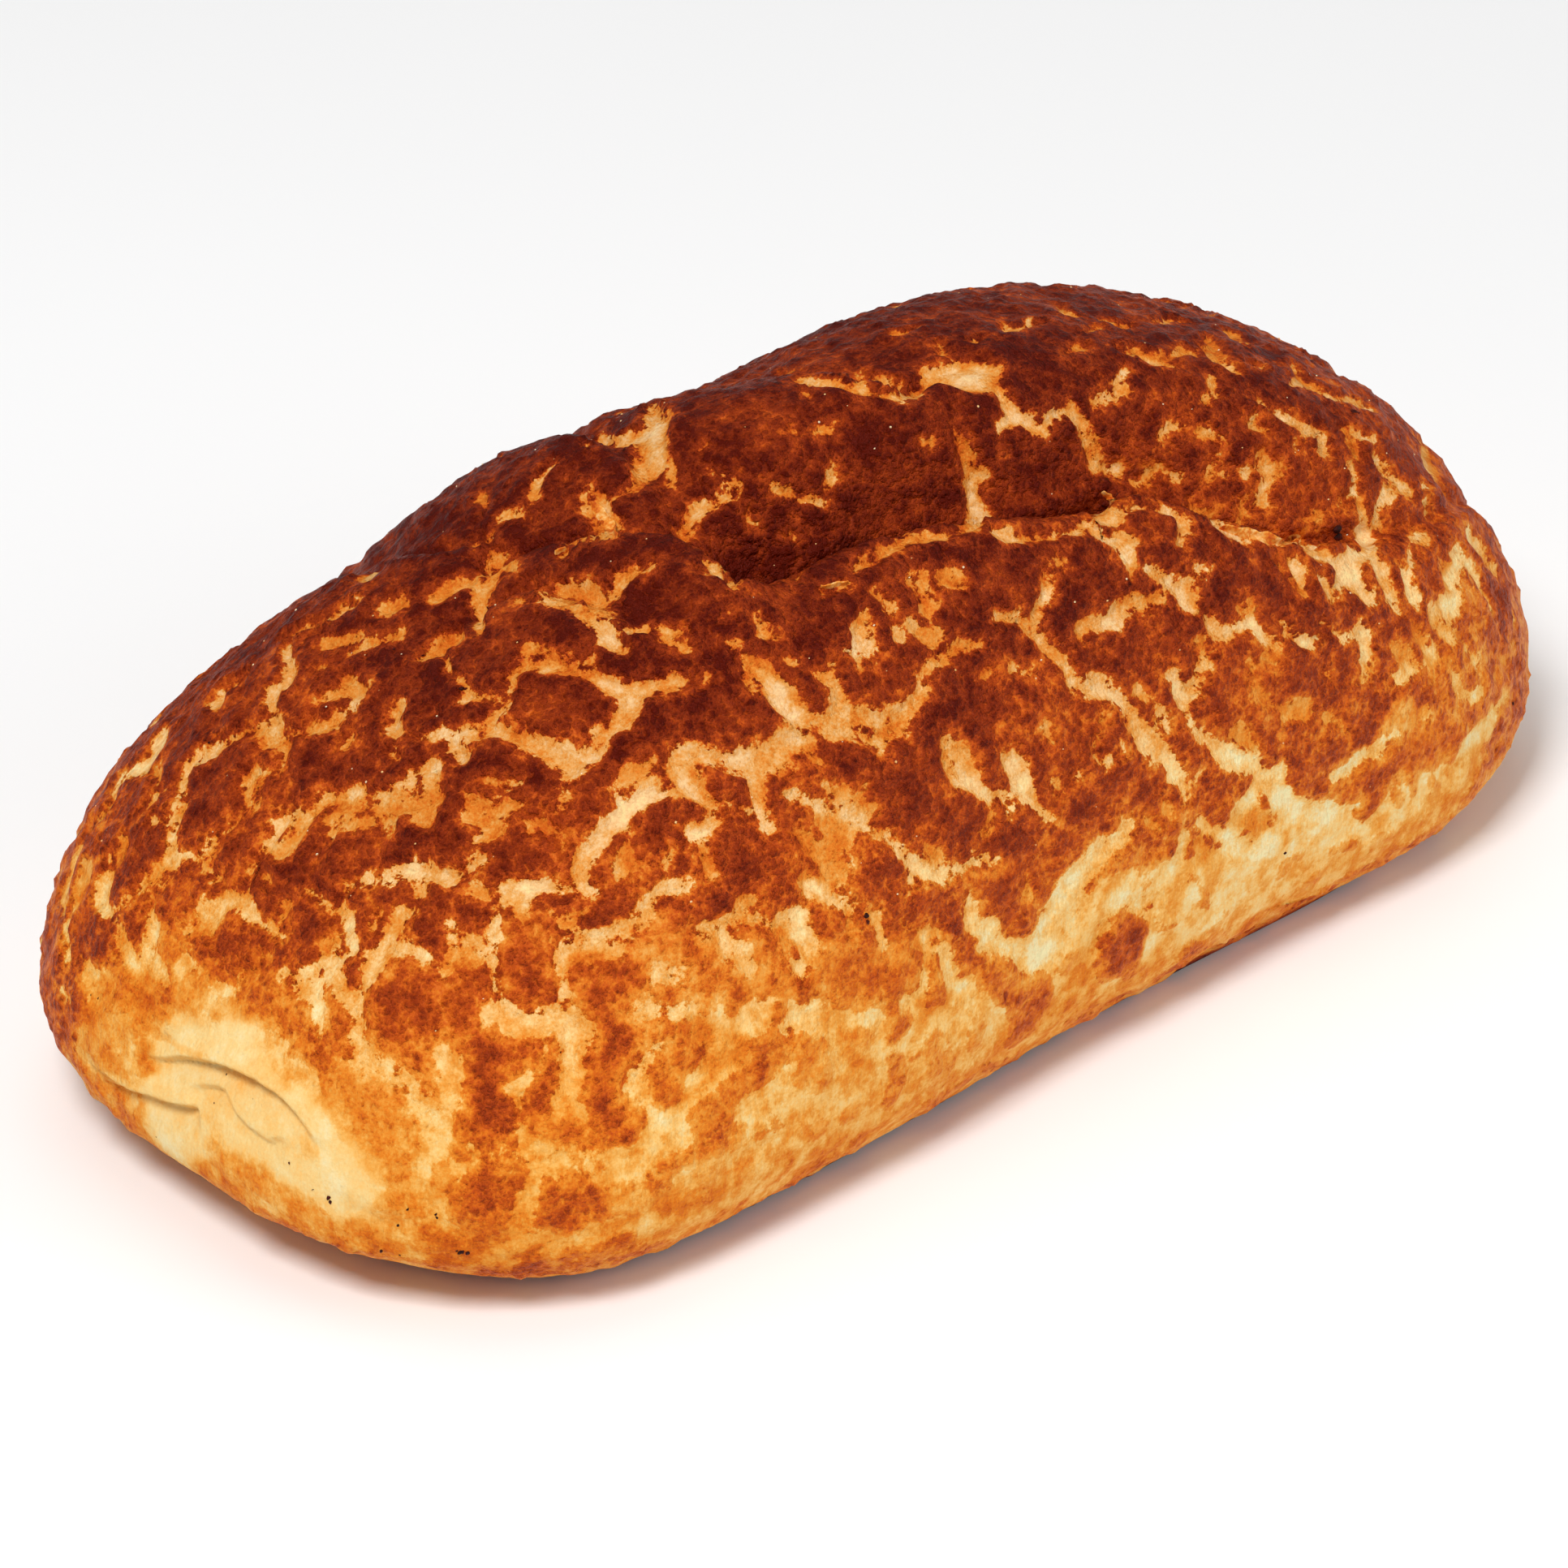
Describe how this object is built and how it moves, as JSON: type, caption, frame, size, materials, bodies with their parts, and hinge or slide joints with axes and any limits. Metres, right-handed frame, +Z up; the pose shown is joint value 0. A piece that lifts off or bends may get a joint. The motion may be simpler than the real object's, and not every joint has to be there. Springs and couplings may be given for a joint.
{
  "type": "tiger bread loaf",
  "caption": "Long rolled bread loaf, uncut, with a domed top, an open fold along one long side and a flat base. Its mottled crust is a cracked rice-paste glaze.",
  "frame": {"origin": "under the middle of the loaf's outline, on the surface that it stands on", "axes": "+X along the loaf from its pale swirled end to its browner end, -Y towards the long side that the open fold faces, +Z up"},
  "size_m": [0.2908, 0.1454, 0.1097],
  "materials": {
    "crust": "baked crust: matt, mottled mahogany and golden brown over cream, darker on top and paler low down"
  },
  "bodies": {
    "root": {"loaf": "crust"}
  },
  "joints": []
}
